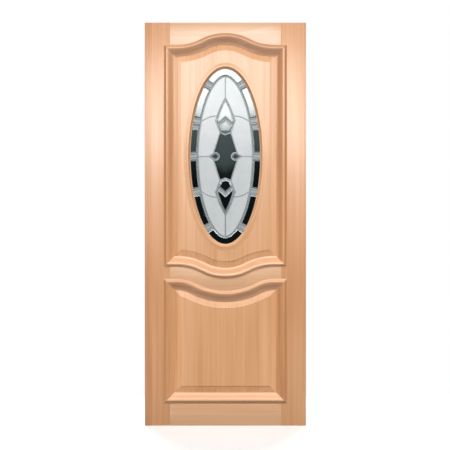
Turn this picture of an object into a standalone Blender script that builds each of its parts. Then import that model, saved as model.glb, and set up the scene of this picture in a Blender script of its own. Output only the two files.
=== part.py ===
"""An entrance door leaf: a stile and rail frame, an oval leaded light over a shaped solid panel.

The leaf stands upright. X runs along its width, the moulded face looks along -Y and Z is up.
The origin is the centre of the hinge edge. All lengths are in metres.

Two distances turn up everywhere. An inset is measured in the plane of the leaf, from the edge
of an opening in the frame towards the middle of that opening. A height is measured from the
middle plane of the leaf towards one of its faces.
"""
import math

import bmesh
import bpy
from mathutils import Matrix, Vector

# The leaf and its frame
LEAF_WIDTH = 0.813
LEAF_HEIGHT = 2.032
LEAF_THICKNESS = 0.044
STILE_WIDTH = 0.125
TOP_RAIL_DEPTH = 0.142
MIDDLE_RAIL_DEPTH = 0.120
BOTTOM_RAIL_DEPTH = 0.142
LOWER_OPENING_HEIGHT = 0.568

# The wave in the edges of the top and middle rails
WAVE_RISE = 0.060
WAVE_SHOULDER = 0.0355

# The joints of the frame
JOINT_GAP = 0.0003
GROOVE_WIDTH = 0.012
GROOVE_DEPTH = 0.012
BACK_CHAMFER = 0.006

# The solid panels
PANEL_THICKNESS = 0.032
PANEL_PLAY = 0.002
PANEL_BEVEL_WIDTH = 0.031
PANEL_SHOULDER = 0.002

# The planted mouldings of the front
MOULDING_WIDTH = 0.055
MOULDING_LAP = 0.030
MOULDING_STAND = 0.0105
MOULDING_EDGE = 0.003
MOULDING_CREST = 0.020
MOULDING_INNER_EDGE = 0.003

# The oval light, at its sight line, and the wood that stays above and below it
OVAL_HALF_WIDTH = 0.177
OVAL_HEAD_MARGIN = 0.149
OVAL_FOOT_MARGIN = 0.145
BEAD_REBATE = 0.015
BEAD_WIDTH = 0.033
BEAD_CREST = 0.016
BEAD_STAND = 0.010
BEAD_EDGE = 0.003
BEAD_SIGHT_STEP = 0.006
BACK_BEAD_WIDTH = 0.028
BACK_BEAD_STAND = 0.005

# The leaded glass
CAME_WIDTH = 0.006
CAME_THICKNESS = 0.007
LIGHT_PLAY = 0.003
FIELD_GLASS_THICKNESS = 0.004
BEVEL_GLASS_THICKNESS = 0.005
BEVEL_GLASS_EDGE = 0.002
BORDER_WIDTH = 0.040
BORDER_SQUARE_LENGTH = 0.026
BORDER_BEVEL = 0.008
SQUARE_BEVEL = 0.005
CLUSTER_BEVEL = 0.009
JEWEL_BEVEL = 0.006

# The cartoon of the middle cluster, drawn from the centre of the oval: (across, up) as shares
# of the half width and half height of the pale field, so that it fits a light of any size.
DIAMOND_POINT_SHARE = (0.0, 0.273)
WAIST_SHARE = (0.204, 0.300)
KITE_CORNER_SHARE = (0.292, 0.382)
KITE_POINT_SHARE = (0.0, 0.474)
DROP_CORNER_SHARE = (0.358, 0.447)
DROP_TIP_SHARE = (0.0, 0.7395)
JEWEL_CENTRE_SHARE = (0.365, 0.0)
JEWEL_TIP_SHARE = (0.6095, 0.0)
DROP_BOW = 0.0045
JEWEL_RADIUS = 0.019

# How finely the curves are faceted
CREST_FACETS = 8
REVERSE_FACETS = 4
OVAL_FACETS = 48
JEWEL_FACETS = 8
DROP_FACETS = 5
WING_FACETS = 4
ROLL_FACETS = 3
OGEE_FACETS = 4
SHORTEST_FACET = 0.002
FACET_SLACK = 0.01
SMOOTH_ANGLE = math.radians(35)
WELD_DISTANCE = 0.00001
CUT_MARGIN = 0.001

# Angles around the oval of the small square bevels, in one quadrant
LOWER_SQUARE_ANGLE = math.radians(24.3)
UPPER_SQUARE_ANGLE = math.radians(56.5)

# What follows from the sizes above
HALF_THICKNESS = LEAF_THICKNESS / 2
HALF_HEIGHT = LEAF_HEIGHT / 2
MIDDLE_X = LEAF_WIDTH / 2
LOWER_FOOT = BOTTOM_RAIL_DEPTH - HALF_HEIGHT
LOWER_HEAD = LOWER_FOOT + LOWER_OPENING_HEIGHT
UPPER_FOOT = LOWER_HEAD + MIDDLE_RAIL_DEPTH
UPPER_HEAD = HALF_HEIGHT - TOP_RAIL_DEPTH

OVAL_LOWEST = UPPER_FOOT - WAVE_RISE + OVAL_FOOT_MARGIN
OVAL_HIGHEST = UPPER_HEAD + WAVE_RISE - OVAL_HEAD_MARGIN
OVAL_HALF_HEIGHT = (OVAL_HIGHEST - OVAL_LOWEST) / 2
OVAL_Z = (OVAL_HIGHEST + OVAL_LOWEST) / 2
FIELD_HALF_WIDTH = OVAL_HALF_WIDTH - BORDER_WIDTH
FIELD_HALF_HEIGHT = OVAL_HALF_HEIGHT - BORDER_WIDTH

TONGUE_HALF = GROOVE_WIDTH / 2 - JOINT_GAP
PANEL_EDGE_INSET = PANEL_PLAY - GROOVE_DEPTH
MOULDING_INNER_INSET = MOULDING_WIDTH - MOULDING_LAP
BEVEL_FOOT_INSET = MOULDING_INNER_INSET + JOINT_GAP
FIELD_INSET = BEVEL_FOOT_INSET + PANEL_BEVEL_WIDTH

WAVE_HALF_SPAN = MIDDLE_X - STILE_WIDTH - WAVE_SHOULDER
WAVE_TURN = 2 * math.atan(WAVE_RISE / WAVE_HALF_SPAN)
WAVE_RADII = WAVE_HALF_SPAN / math.sin(WAVE_TURN)
# Both arcs of a wave are alike along the outer edge of the upper mouldings.
UPPER_CREST_RADIUS = WAVE_RADII / 2 - MOULDING_LAP
# The middle rail is a band of one width, so its two waves share their centres.
LOWER_CREST_RADIUS = UPPER_CREST_RADIUS + MIDDLE_RAIL_DEPTH


class Edge:
    """One horizontal edge of an opening: straight, or with a wave that swings up or down."""

    def __init__(self, level, inward, swing=0, crest_radius=0.0):
        self.level = level
        self.inward = inward
        self.swing = swing
        self.crest_radius = crest_radius

    def points(self, inset, left, right):
        """The edge moved inward by inset, from left to right, as (x, z) pairs."""
        shift = self.inward * inset
        flat = self.level + shift
        if self.swing == 0:
            return [(left, flat), (right, flat)]
        crest = self.crest_radius + self.swing * shift
        reverse = WAVE_RADII - crest
        crest_middle = self.level + self.swing * (WAVE_RISE - self.crest_radius)
        reverse_middle = self.level + self.swing * (WAVE_RADII - self.crest_radius)
        tangent = MIDDLE_X - WAVE_HALF_SPAN

        def on_reverse(x):
            run = max(x - tangent, 0.0)
            turn = math.asin(min(run / reverse, 1.0))
            return turn, reverse_middle - self.swing * reverse * math.cos(turn)

        first_turn = on_reverse(left + SHORTEST_FACET)[0]
        half = [(left, on_reverse(left)[1])]
        for step in range(REVERSE_FACETS):
            turn = first_turn + (WAVE_TURN - first_turn) * step / REVERSE_FACETS
            half.append((tangent + reverse * math.sin(turn),
                         reverse_middle - self.swing * reverse * math.cos(turn)))
        for step in range(CREST_FACETS // 2):
            turn = WAVE_TURN * (1 - 2 * step / CREST_FACETS)
            half.append((MIDDLE_X - crest * math.sin(turn),
                         crest_middle + self.swing * crest * math.cos(turn)))
        top = (MIDDLE_X, crest_middle + self.swing * crest)
        mirrored = [(left + right - x, z) for x, z in reversed(half)]
        return half + [top] + mirrored


class Opening:
    """An opening of the frame between the stiles."""

    def __init__(self, foot, head):
        self.foot = foot
        self.head = head

    def sides(self, inset):
        return STILE_WIDTH + inset, LEAF_WIDTH - STILE_WIDTH - inset

    def outline(self, inset):
        """The closed outline at an inset, always with the same number of points."""
        left, right = self.sides(inset)
        foot = self.foot.points(inset, left, right)
        head = self.head.points(inset, left, right)
        return foot + head[::-1]


UPPER = Opening(Edge(UPPER_FOOT, 1, -1, UPPER_CREST_RADIUS),
                Edge(UPPER_HEAD, -1, 1, UPPER_CREST_RADIUS))
LOWER = Opening(Edge(LOWER_FOOT, 1),
                Edge(LOWER_HEAD, -1, -1, LOWER_CREST_RADIUS))
LEAF_FOOT = Edge(-HALF_HEIGHT, 1)
LEAF_HEAD = Edge(HALF_HEIGHT, -1)


def new_collection(name):
    collection = bpy.data.collections.new(name)
    bpy.context.scene.collection.children.link(collection)
    return collection


def new_material(name, colour, roughness, metallic=0.0, transmission=0.0):
    material = bpy.data.materials.new(name)
    material.use_nodes = True
    shader = material.node_tree.nodes["Principled BSDF"]
    shader.inputs["Base Color"].default_value = (*colour, 1.0)
    shader.inputs["Roughness"].default_value = roughness
    shader.inputs["Metallic"].default_value = metallic
    shader.inputs["Transmission Weight"].default_value = transmission
    return material


def add_object(name, mesh, collection, material=None):
    if material is not None:
        mesh.materials.append(material)
    piece = bpy.data.objects.new(name, mesh)
    collection.objects.link(piece)
    return piece


def as_cutter(piece):
    piece.hide_render = True
    piece.display_type = "WIRE"
    return piece


def add_boolean(piece, other, operation="DIFFERENCE"):
    modifier = piece.modifiers.new(other.name, "BOOLEAN")
    modifier.operation = operation
    modifier.solver = "EXACT"
    modifier.object = other


def add_box(name, low, high, collection, material=None):
    """A box between two corners."""
    low, high = Vector(low), Vector(high)
    mesh = bpy.data.meshes.new(name)
    cube = bmesh.new()
    bmesh.ops.create_cube(cube, size=1.0)
    bmesh.ops.transform(cube, matrix=Matrix.LocRotScale((low + high) / 2, None, high - low),
                        verts=cube.verts)
    cube.to_mesh(mesh)
    cube.free()
    return add_object(name, mesh, collection, material)


def add_plate(name, outline, thickness, collection, material=None):
    """A flat plate in the middle plane of the leaf, extruded from one outline."""
    mesh = bpy.data.meshes.new(name)
    plate = bmesh.new()
    face = plate.faces.new([plate.verts.new((x, -thickness / 2, z)) for x, z in outline])
    extruded = bmesh.ops.extrude_face_region(plate, geom=[face], use_keep_orig=True)
    moved = [item for item in extruded["geom"] if isinstance(item, bmesh.types.BMVert)]
    bmesh.ops.translate(plate, vec=(0.0, thickness, 0.0), verts=moved)
    bmesh.ops.recalc_face_normals(plate, faces=plate.faces)
    plate.to_mesh(mesh)
    plate.free()
    return add_object(name, mesh, collection, material)


def add_pierced_plate(name, outer, holes, thickness, collection, material):
    """A flat plate with holes right through it, from a filled curve of several outlines."""
    curve = bpy.data.curves.new(name, "CURVE")
    curve.dimensions = "2D"
    curve.fill_mode = "BOTH"
    curve.extrude = thickness / 2
    for outline in [outer, *holes]:
        spline = curve.splines.new("POLY")
        spline.points.add(len(outline) - 1)
        for point, (x, z) in zip(spline.points, outline):
            point.co = (x, z, 0.0, 1.0)
        spline.use_cyclic_u = True
    guide = bpy.data.objects.new(name + "_outline", curve)
    collection.objects.link(guide)
    bpy.context.view_layer.update()
    evaluated = guide.evaluated_get(bpy.context.evaluated_depsgraph_get())
    mesh = bpy.data.meshes.new_from_object(evaluated)
    bpy.data.objects.remove(guide)
    bpy.data.curves.remove(curve)
    welded = bmesh.new()
    welded.from_mesh(mesh)
    bmesh.ops.remove_doubles(welded, verts=welded.verts, dist=WELD_DISTANCE)
    bmesh.ops.transform(welded, matrix=Matrix.Rotation(math.pi / 2, 4, "X"), verts=welded.verts)
    welded.to_mesh(mesh)
    welded.free()
    mesh.name = name
    mesh.materials.clear()
    return add_object(name, mesh, collection, material)


def add_loft(name, rings, collection, material=None, closed=False):
    """A solid through rings of (x, y, z) points, capped at both ends or closed on itself."""
    mesh = bpy.data.meshes.new(name)
    solid = bmesh.new()
    rows = [[solid.verts.new(point) for point in ring] for ring in rings]
    followers = rows[1:] + rows[:1] if closed else rows[1:]
    for row, follower in zip(rows, followers):
        for index, vertex in enumerate(row):
            after = (index + 1) % len(row)
            solid.faces.new((vertex, row[after], follower[after], follower[index]))
    if not closed:
        solid.faces.new(rows[0])
        solid.faces.new(rows[-1])
    bmesh.ops.recalc_face_normals(solid, faces=solid.faces)
    solid.to_mesh(mesh)
    solid.free()
    return add_object(name, mesh, collection, material)


def shade_rounds_smooth(piece):
    piece.data.shade_smooth()
    piece.data.set_sharp_from_angle(angle=SMOOTH_ANGLE)


def moulded_face(width, crest, edge, top, inner, roll_facets, ogee_facets):
    """The face of a moulding from its outer edge: a quarter roll to the crest, then an ogee.

    Gives (distance from the outer edge, height) pairs.
    """
    face = []
    for step in range(roll_facets + 1):
        turn = math.pi / 2 * step / roll_facets
        face.append((crest * (1 - math.cos(turn)), edge + (top - edge) * math.sin(turn)))
    for step in range(1, ogee_facets + 1):
        share = step / ogee_facets
        fall = (1 + math.cos(math.pi * share)) / 2
        face.append((crest + (width - crest) * share, inner + (top - inner) * fall))
    return face


def front_moulding_section():
    """The section of the planted mouldings as (inset, height): it laps the frame's face,
    steps down inside the opening and presses on the margin of the panel."""
    seat = TONGUE_HALF + JOINT_GAP
    face = moulded_face(MOULDING_WIDTH, MOULDING_CREST,
                        HALF_THICKNESS + MOULDING_EDGE, HALF_THICKNESS + MOULDING_STAND,
                        seat + MOULDING_INNER_EDGE, ROLL_FACETS, OGEE_FACETS)
    section = [(across - MOULDING_LAP, height) for across, height in face]
    section.append((MOULDING_INNER_INSET, seat))
    section.append((JOINT_GAP, seat))
    section.append((JOINT_GAP, HALF_THICKNESS + JOINT_GAP))
    section.append((-MOULDING_LAP, HALF_THICKNESS + JOINT_GAP))
    return section


def edge_profile(edge):
    """The profile of a frame member's edge from front to back, as (inset, y) pairs: an edge of
    an opening has the groove and the chamfer of the back, an outer edge of the leaf is plain."""
    if edge in (LEAF_FOOT, LEAF_HEAD):
        return [(0.0, -HALF_THICKNESS), (0.0, HALF_THICKNESS)]
    groove = GROOVE_WIDTH / 2
    return [(0.0, -HALF_THICKNESS), (0.0, -groove), (-GROOVE_DEPTH, -groove),
            (-GROOVE_DEPTH, groove), (0.0, groove), (0.0, HALF_THICKNESS - BACK_CHAMFER),
            (-BACK_CHAMFER, HALF_THICKNESS)]


def make_stile(name, outer, side, door, wood):
    """A stile of full height. Side is 1 where its inner edge lies towards +X, else -1."""
    inner = outer + side * STILE_WIDTH
    groove = GROOVE_WIDTH / 2
    stretches = ((-HALF_HEIGHT, False), (LOWER_FOOT - BACK_CHAMFER, False), (LOWER_FOOT, True),
                 (LOWER_HEAD, True), (LOWER_HEAD + BACK_CHAMFER, False),
                 (UPPER_FOOT - BACK_CHAMFER, False), (UPPER_FOOT, True),
                 (UPPER_HEAD, True), (UPPER_HEAD + BACK_CHAMFER, False), (HALF_HEIGHT, False))
    rings = []
    for level, chamfered in stretches:
        arris = HALF_THICKNESS - (BACK_CHAMFER if chamfered else 0.0)
        section = ((outer, -HALF_THICKNESS), (inner, -HALF_THICKNESS), (inner, -groove),
                   (inner - side * GROOVE_DEPTH, -groove), (inner - side * GROOVE_DEPTH, groove),
                   (inner, groove), (inner, arris),
                   (inner - side * BACK_CHAMFER, HALF_THICKNESS), (outer, HALF_THICKNESS))
        rings.append([(x, y, level) for x, y in section])
    add_loft(name, rings, door, wood)


def make_rail(name, under, over, door, cutters, wood):
    """A rail between the stiles, with a tongue at each end that fills the stile's groove."""
    left_end = STILE_WIDTH + JOINT_GAP
    right_end = LEAF_WIDTH - left_end
    guide = max((edge.points(0.0, left_end, right_end) for edge in (under, over)), key=len)
    columns = []
    for edge, profile in ((under, edge_profile(under)), (over, edge_profile(over)[::-1])):
        for inset, y in profile:
            line = edge.points(inset, left_end, right_end)
            if len(line) < len(guide):
                line = [(x, line[0][1]) for x, _ in guide]
            columns.append([(x, y, z) for x, z in line])
    rings = [[column[index] for column in columns] for index in range(len(guide))]
    rail = add_loft(name, rings, door, wood)

    reach = GROOVE_DEPTH - JOINT_GAP
    foot = under.level + (0.0 if under is LEAF_FOOT else GROOVE_DEPTH + JOINT_GAP)
    head = over.level - (0.0 if over is LEAF_HEAD else GROOVE_DEPTH + JOINT_GAP)
    for place, end, tip in (("left", left_end + CUT_MARGIN, STILE_WIDTH - reach),
                            ("right", right_end - CUT_MARGIN, LEAF_WIDTH - STILE_WIDTH + reach)):
        tongue = as_cutter(add_box(f"{name}_tongue_{place}",
                                   (min(end, tip), -TONGUE_HALF, foot),
                                   (max(end, tip), TONGUE_HALF, head), cutters))
        add_boolean(rail, tongue, "UNION")


def make_frame(door, cutters, wood):
    make_stile("hinge_stile", 0.0, 1, door, wood)
    make_stile("lock_stile", LEAF_WIDTH, -1, door, wood)
    make_rail("top_rail", UPPER.head, LEAF_HEAD, door, cutters, wood)
    make_rail("middle_rail", LOWER.head, UPPER.foot, door, cutters, wood)
    make_rail("bottom_rail", LEAF_FOOT, LOWER.foot, door, cutters, wood)


def make_panel(name, opening, door, wood):
    """A raised panel, alike on both faces: tongue, flat margin, bevel and raised field."""
    half_panel = PANEL_THICKNESS / 2
    steps = ((FIELD_INSET, half_panel), (FIELD_INSET, half_panel - PANEL_SHOULDER),
             (BEVEL_FOOT_INSET, TONGUE_HALF), (PANEL_EDGE_INSET, TONGUE_HALF))
    both = [(inset, -height) for inset, height in steps]
    both += [(inset, height) for inset, height in reversed(steps)]
    rings = [[(x, y, z) for x, z in opening.outline(inset)] for inset, y in both]
    return add_loft(name, rings, door, wood)


def make_mouldings(name, opening, door, wood):
    """Four planted mouldings around an opening, mitred at its corners."""
    section = front_moulding_section()
    for place, edge in (("top", opening.head), ("bottom", opening.foot)):
        lines = []
        for inset, height in section:
            left, right = opening.sides(inset)
            line = edge.points(inset, left + JOINT_GAP, right - JOINT_GAP)
            lines.append([(x, -height, z) for x, z in line])
        rings = [[line[index] for line in lines] for index in range(len(lines[0]))]
        shade_rounds_smooth(add_loft(f"{name}_{place}", rings, door, wood))
    for place, side in (("left", 0), ("right", 1)):
        rings = []
        for edge in (opening.foot, opening.head):
            rings.append([(opening.sides(inset)[side], -height, edge.level + edge.inward * inset)
                          for inset, height in section])
        shade_rounds_smooth(add_loft(f"{name}_{place}", rings, door, wood))


def oval_point(angle, outside):
    """A point of the curve parallel to the sight line, as (across, up) from its centre."""
    across = OVAL_HALF_WIDTH * math.cos(angle)
    up = OVAL_HALF_HEIGHT * math.sin(angle)
    normal_across = math.cos(angle) / OVAL_HALF_WIDTH
    normal_up = math.sin(angle) / OVAL_HALF_HEIGHT
    length = math.hypot(normal_across, normal_up)
    return across + outside * normal_across / length, up + outside * normal_up / length


def oval_stretch(start, end, outside):
    """Points along the parallel curve from one angle to another."""
    facets = max(1, math.ceil(abs(end - start) * OVAL_FACETS / math.tau - FACET_SLACK))
    return [oval_point(start + (end - start) * step / facets, outside)
            for step in range(facets + 1)]


def on_leaf(points):
    """Points given from the centre of the oval, as (x, z) on the leaf."""
    return [(MIDDLE_X + across, OVAL_Z + up) for across, up in points]


def oval_ring(outside):
    return on_leaf(oval_stretch(0.0, math.tau, outside)[:-1])


def make_bead(name, side, section, door, wood):
    """An oval bead that holds the light; side is -1 on the front face and 1 on the back."""
    loops = [oval_ring(outside) for outside, _ in section]
    rings = [[(loop[index][0], side * height, loop[index][1])
              for loop, (_, height) in zip(loops, section)]
             for index in range(OVAL_FACETS)]
    shade_rounds_smooth(add_loft(name, rings, door, wood, closed=True))


def make_beads(door, wood):
    panel_face = PANEL_THICKNESS / 2
    lip = CAME_THICKNESS / 2 + JOINT_GAP
    rebate = BEAD_REBATE - JOINT_GAP

    face = moulded_face(BEAD_WIDTH, BEAD_CREST, panel_face + BEAD_EDGE, panel_face + BEAD_STAND,
                        lip + BEAD_SIGHT_STEP, ROLL_FACETS - 1, OGEE_FACETS - 1)
    section = [(BEAD_WIDTH - across, height) for across, height in face]
    section += [(0.0, lip), (rebate, lip), (rebate, panel_face + JOINT_GAP),
                (BEAD_WIDTH, panel_face + JOINT_GAP)]
    make_bead("oval_bead_front", -1, section, door, wood)

    stand = panel_face + BACK_BEAD_STAND
    section = [(0.0, lip), (0.0, lip + BEAD_SIGHT_STEP), (rebate, stand),
               (BACK_BEAD_WIDTH - BACK_BEAD_STAND, stand),
               (BACK_BEAD_WIDTH, panel_face + JOINT_GAP), (rebate, panel_face + JOINT_GAP)]
    make_bead("oval_bead_back", 1, section, door, wood)


def inset_outline(outline, distance):
    """A counter-clockwise outline with every side moved inward by one distance."""
    moved = []
    for index, (x, z) in enumerate(outline):
        before = outline[index - 1]
        after = outline[(index + 1) % len(outline)]
        normals = []
        for start, end in ((before, (x, z)), ((x, z), after)):
            run, rise = end[0] - start[0], end[1] - start[1]
            length = math.hypot(run, rise)
            normals.append((-rise / length, run / length))
        (ax, az), (bx, bz) = normals
        scale = distance / (1 + ax * bx + az * bz)
        moved.append((x + (ax + bx) * scale, z + (az + bz) * scale))
    return moved


def bowed_line(start, end, bow, facets):
    """A line from start to end that swells to its right by bow at its middle."""
    run, rise = end[0] - start[0], end[1] - start[1]
    length = math.hypot(run, rise)
    points = []
    for step in range(facets + 1):
        share = step / facets
        out = 4 * bow * share * (1 - share)
        points.append((start[0] + run * share + rise / length * out,
                       start[1] + rise * share - run / length * out))
    return points


def wing_line(start, end):
    """The lead line that leaves a drop level and bends down to the border."""
    run, fall = end[0] - start[0], start[1] - end[1]
    radius = (run * run + fall * fall) / (2 * fall)
    last = math.asin(run / radius)
    return [(start[0] + radius * math.sin(last * step / WING_FACETS),
             start[1] - radius + radius * math.cos(last * step / WING_FACETS))
            for step in range(WING_FACETS + 1)]


def flipped(outline, across, up):
    """An outline mirrored by signs across and up, kept counter-clockwise."""
    turned = [(x * across, z * up) for x, z in outline]
    return turned if across * up > 0 else turned[::-1]


def came_layout():
    """The centre lines of the cames around each piece of glass: {name: (outline, kind)}."""
    layout = {}

    quadrant = (0.0, LOWER_SQUARE_ANGLE, UPPER_SQUARE_ANGLE)
    angles = sorted({round(turn, 9) for angle in quadrant
                     for turn in (angle, math.pi - angle, math.pi + angle,
                                  (math.tau - angle) % math.tau)})
    outer = BEAD_REBATE - LIGHT_PLAY - CAME_WIDTH / 2
    spans = []
    for angle in angles:
        speed = math.hypot(OVAL_HALF_WIDTH * math.sin(angle), OVAL_HALF_HEIGHT * math.cos(angle))
        half = BORDER_SQUARE_LENGTH / 2 / speed
        spans.append((angle - half, angle + half))
    for number, (start, end) in enumerate(spans, 1):
        following = spans[number % len(spans)][0]
        if following < end:
            following += math.tau
        square = [oval_point(start, outer), oval_point(end, outer),
                  oval_point(end, -BORDER_WIDTH), oval_point(start, -BORDER_WIDTH)]
        strip = (oval_stretch(end, following, outer)
                 + oval_stretch(end, following, -BORDER_WIDTH)[::-1])
        layout[f"border_square_{number:02d}"] = (square, "square")
        layout[f"border_glass_{number:02d}"] = (strip, "border")

    (diamond_point, waist, kite_corner, kite_point, drop_corner, drop_tip, jewel_centre,
     jewel_tip) = ((across * FIELD_HALF_WIDTH, up * FIELD_HALF_HEIGHT)
                   for across, up in (DIAMOND_POINT_SHARE, WAIST_SHARE, KITE_CORNER_SHARE,
                                      KITE_POINT_SHARE, DROP_CORNER_SHARE, DROP_TIP_SHARE,
                                      JEWEL_CENTRE_SHARE, JEWEL_TIP_SHARE))
    side = bowed_line(drop_corner, drop_tip, DROP_BOW, DROP_FACETS)
    shoulder = oval_point(LOWER_SQUARE_ANGLE, -BORDER_WIDTH)
    wing = wing_line(side[1], shoulder)
    touch = math.acos(JEWEL_RADIUS / (jewel_tip[0] - jewel_centre[0]))
    arc = [(jewel_centre[0] + JEWEL_RADIUS * math.cos(turn), JEWEL_RADIUS * math.sin(turn))
           for turn in (touch + (math.tau - 2 * touch) * step / JEWEL_FACETS
                        for step in range(JEWEL_FACETS + 1))]

    top_field = (oval_stretch(LOWER_SQUARE_ANGLE, math.pi / 2, -BORDER_WIDTH)
                 + side[:0:-1] + wing[1:-1])
    middle_field = (oval_stretch(0.0, LOWER_SQUARE_ANGLE, -BORDER_WIDTH) + wing[-2::-1]
                    + [side[0], kite_corner, waist, arc[0], jewel_tip])
    for up, rise_name in ((1, "upper"), (-1, "lower")):
        for across, side_name in ((-1, "left"), (1, "right")):
            layout[f"{rise_name}_tip_field_{side_name}"] = (
                flipped(top_field, across, up), "field")
            layout[f"{rise_name}_middle_field_{side_name}"] = (
                flipped(middle_field, across, up), "field")

    half_drop = [kite_corner] + side
    drop = [kite_point] + half_drop + flipped(half_drop[:-1], -1, 1)
    kite = [diamond_point, waist, kite_corner, kite_point,
            (-kite_corner[0], kite_corner[1]), (-waist[0], waist[1])]
    right_half = [(waist[0], -waist[1])] + arc[::-1] + [waist, diamond_point]
    diamond = right_half + [(-x, -z) for x, z in right_half]
    for up, rise_name in ((1, "upper"), (-1, "lower")):
        layout[f"{rise_name}_drop"] = (flipped(drop, 1, up), "cluster")
        layout[f"{rise_name}_kite"] = (flipped(kite, 1, up), "cluster")
    layout["centre_diamond"] = (diamond, "plain")
    jewel = [jewel_tip] + arc
    layout["left_jewel"] = (flipped(jewel, -1, 1), "jewel")
    layout["right_jewel"] = (jewel, "jewel")
    return layout


def make_light(door, obscure, clear, lead):
    """The leaded light: one soldered lattice of cames and every piece of glass in it."""
    bevels = {"border": BORDER_BEVEL, "square": SQUARE_BEVEL, "cluster": CLUSTER_BEVEL,
              "jewel": JEWEL_BEVEL}
    holes = []
    for name, (centre_line, kind) in came_layout().items():
        holes.append(on_leaf(inset_outline(centre_line, CAME_WIDTH / 2)))
        edge = inset_outline(centre_line, CAME_WIDTH / 2 + JOINT_GAP)
        if kind in bevels:
            flat = on_leaf(inset_outline(centre_line, CAME_WIDTH / 2 + JOINT_GAP + bevels[kind]))
            rim = on_leaf(edge)
            half = BEVEL_GLASS_THICKNESS / 2
            steps = ((rim, half), (rim, half - BEVEL_GLASS_EDGE), (flat, -half))
            rings = [[(x, y, z) for x, z in outline] for outline, y in steps]
            add_loft(name, rings, door, clear)
        elif kind == "field":
            add_plate(name, on_leaf(edge), FIELD_GLASS_THICKNESS, door, obscure)
        else:
            add_plate(name, on_leaf(edge), BEVEL_GLASS_THICKNESS, door, clear)
    add_pierced_plate("lead_cames", oval_ring(BEAD_REBATE - LIGHT_PLAY), holes,
                      CAME_THICKNESS, door, lead)


def main():
    for leftover in list(bpy.data.objects):
        bpy.data.objects.remove(leftover)
    door = new_collection("entrance_door")
    cutters = new_collection("door_cutters")

    frame_wood = new_material("frame_wood", (0.62, 0.40, 0.26), 0.45)
    panel_wood = new_material("panel_wood", (0.66, 0.43, 0.28), 0.45)
    moulding_wood = new_material("moulding_wood", (0.60, 0.37, 0.23), 0.40)
    obscure = new_material("obscure_glass", (0.86, 0.88, 0.88), 0.35, transmission=0.6)
    clear = new_material("bevelled_glass", (0.80, 0.86, 0.85), 0.03, transmission=1.0)
    lead = new_material("lead", (0.16, 0.17, 0.18), 0.50, metallic=1.0)

    make_frame(door, cutters, frame_wood)
    upper_panel = make_panel("upper_panel", UPPER, door, panel_wood)
    make_panel("lower_panel", LOWER, door, panel_wood)
    aperture = as_cutter(add_plate("oval_aperture", oval_ring(BEAD_REBATE),
                                   PANEL_THICKNESS + 2 * CUT_MARGIN, cutters))
    add_boolean(upper_panel, aperture)
    make_mouldings("upper_moulding", UPPER, door, moulding_wood)
    make_mouldings("lower_moulding", LOWER, door, moulding_wood)
    make_beads(door, moulding_wood)
    make_light(door, obscure, clear, lead)


main()
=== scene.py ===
"""An entrance door leaf of lacquered hemlock with an oval leaded light, lit in a plain studio.

X runs along the width of the leaf, its moulded face looks along -Y and Z is up, in metres.
An inset is measured from the edge of an opening in the frame towards its middle. A height is
measured from the middle plane of the leaf towards one of its faces.
"""
import math
import random

import bmesh
import bpy
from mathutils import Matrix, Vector


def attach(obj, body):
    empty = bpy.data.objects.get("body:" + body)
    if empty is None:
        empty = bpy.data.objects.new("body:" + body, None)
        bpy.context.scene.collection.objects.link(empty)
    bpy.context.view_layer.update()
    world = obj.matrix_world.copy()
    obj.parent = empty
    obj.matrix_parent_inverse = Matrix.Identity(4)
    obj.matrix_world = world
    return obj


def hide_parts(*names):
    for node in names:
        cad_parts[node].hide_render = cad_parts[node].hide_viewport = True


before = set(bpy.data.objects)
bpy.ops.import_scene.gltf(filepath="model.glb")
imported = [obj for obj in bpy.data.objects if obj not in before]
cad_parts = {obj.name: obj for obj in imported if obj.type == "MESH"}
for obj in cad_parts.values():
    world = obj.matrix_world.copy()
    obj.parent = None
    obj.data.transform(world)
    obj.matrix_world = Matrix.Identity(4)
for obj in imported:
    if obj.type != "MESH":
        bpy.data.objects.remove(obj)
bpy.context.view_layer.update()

# The leaf and its frame
LEAF_WIDTH = 0.813
LEAF_HEIGHT = 2.032
LEAF_THICKNESS = 0.044
STILE_WIDTH = 0.125
TOP_RAIL_DEPTH = 0.142
MIDDLE_RAIL_DEPTH = 0.120
BOTTOM_RAIL_DEPTH = 0.142
LOWER_OPENING_HEIGHT = 0.568
WAVE_RISE = 0.060
WAVE_SHOULDER = 0.0355
JOINT_GAP = 0.0003
GROOVE_WIDTH = 0.012
GROOVE_DEPTH = 0.012
ARRIS = 0.0007

# The solid panels
PANEL_THICKNESS = 0.032
PANEL_PLAY = 0.002
PANEL_BEVEL_WIDTH = 0.031
PANEL_SHOULDER = 0.002
PANEL_EASING = 0.0012
EASING_BEND = 0.3

# The planted mouldings and the beads of the oval
MOULDING_WIDTH = 0.055
MOULDING_LAP = 0.030
MOULDING_STAND = 0.0105
MOULDING_EDGE = 0.0015
MOULDING_CREST = 0.015
MOULDING_INNER_EDGE = 0.003
MOULDING_EASE = 0.65
BEAD_REBATE = 0.015
BEAD_WIDTH = 0.033
BEAD_CREST = 0.021
BEAD_STAND = 0.004
BEAD_EDGE = 0.0005
BEAD_SIGHT_STEP = 0.003
BACK_BEAD_WIDTH = 0.028
BACK_BEAD_STAND = 0.005

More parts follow.
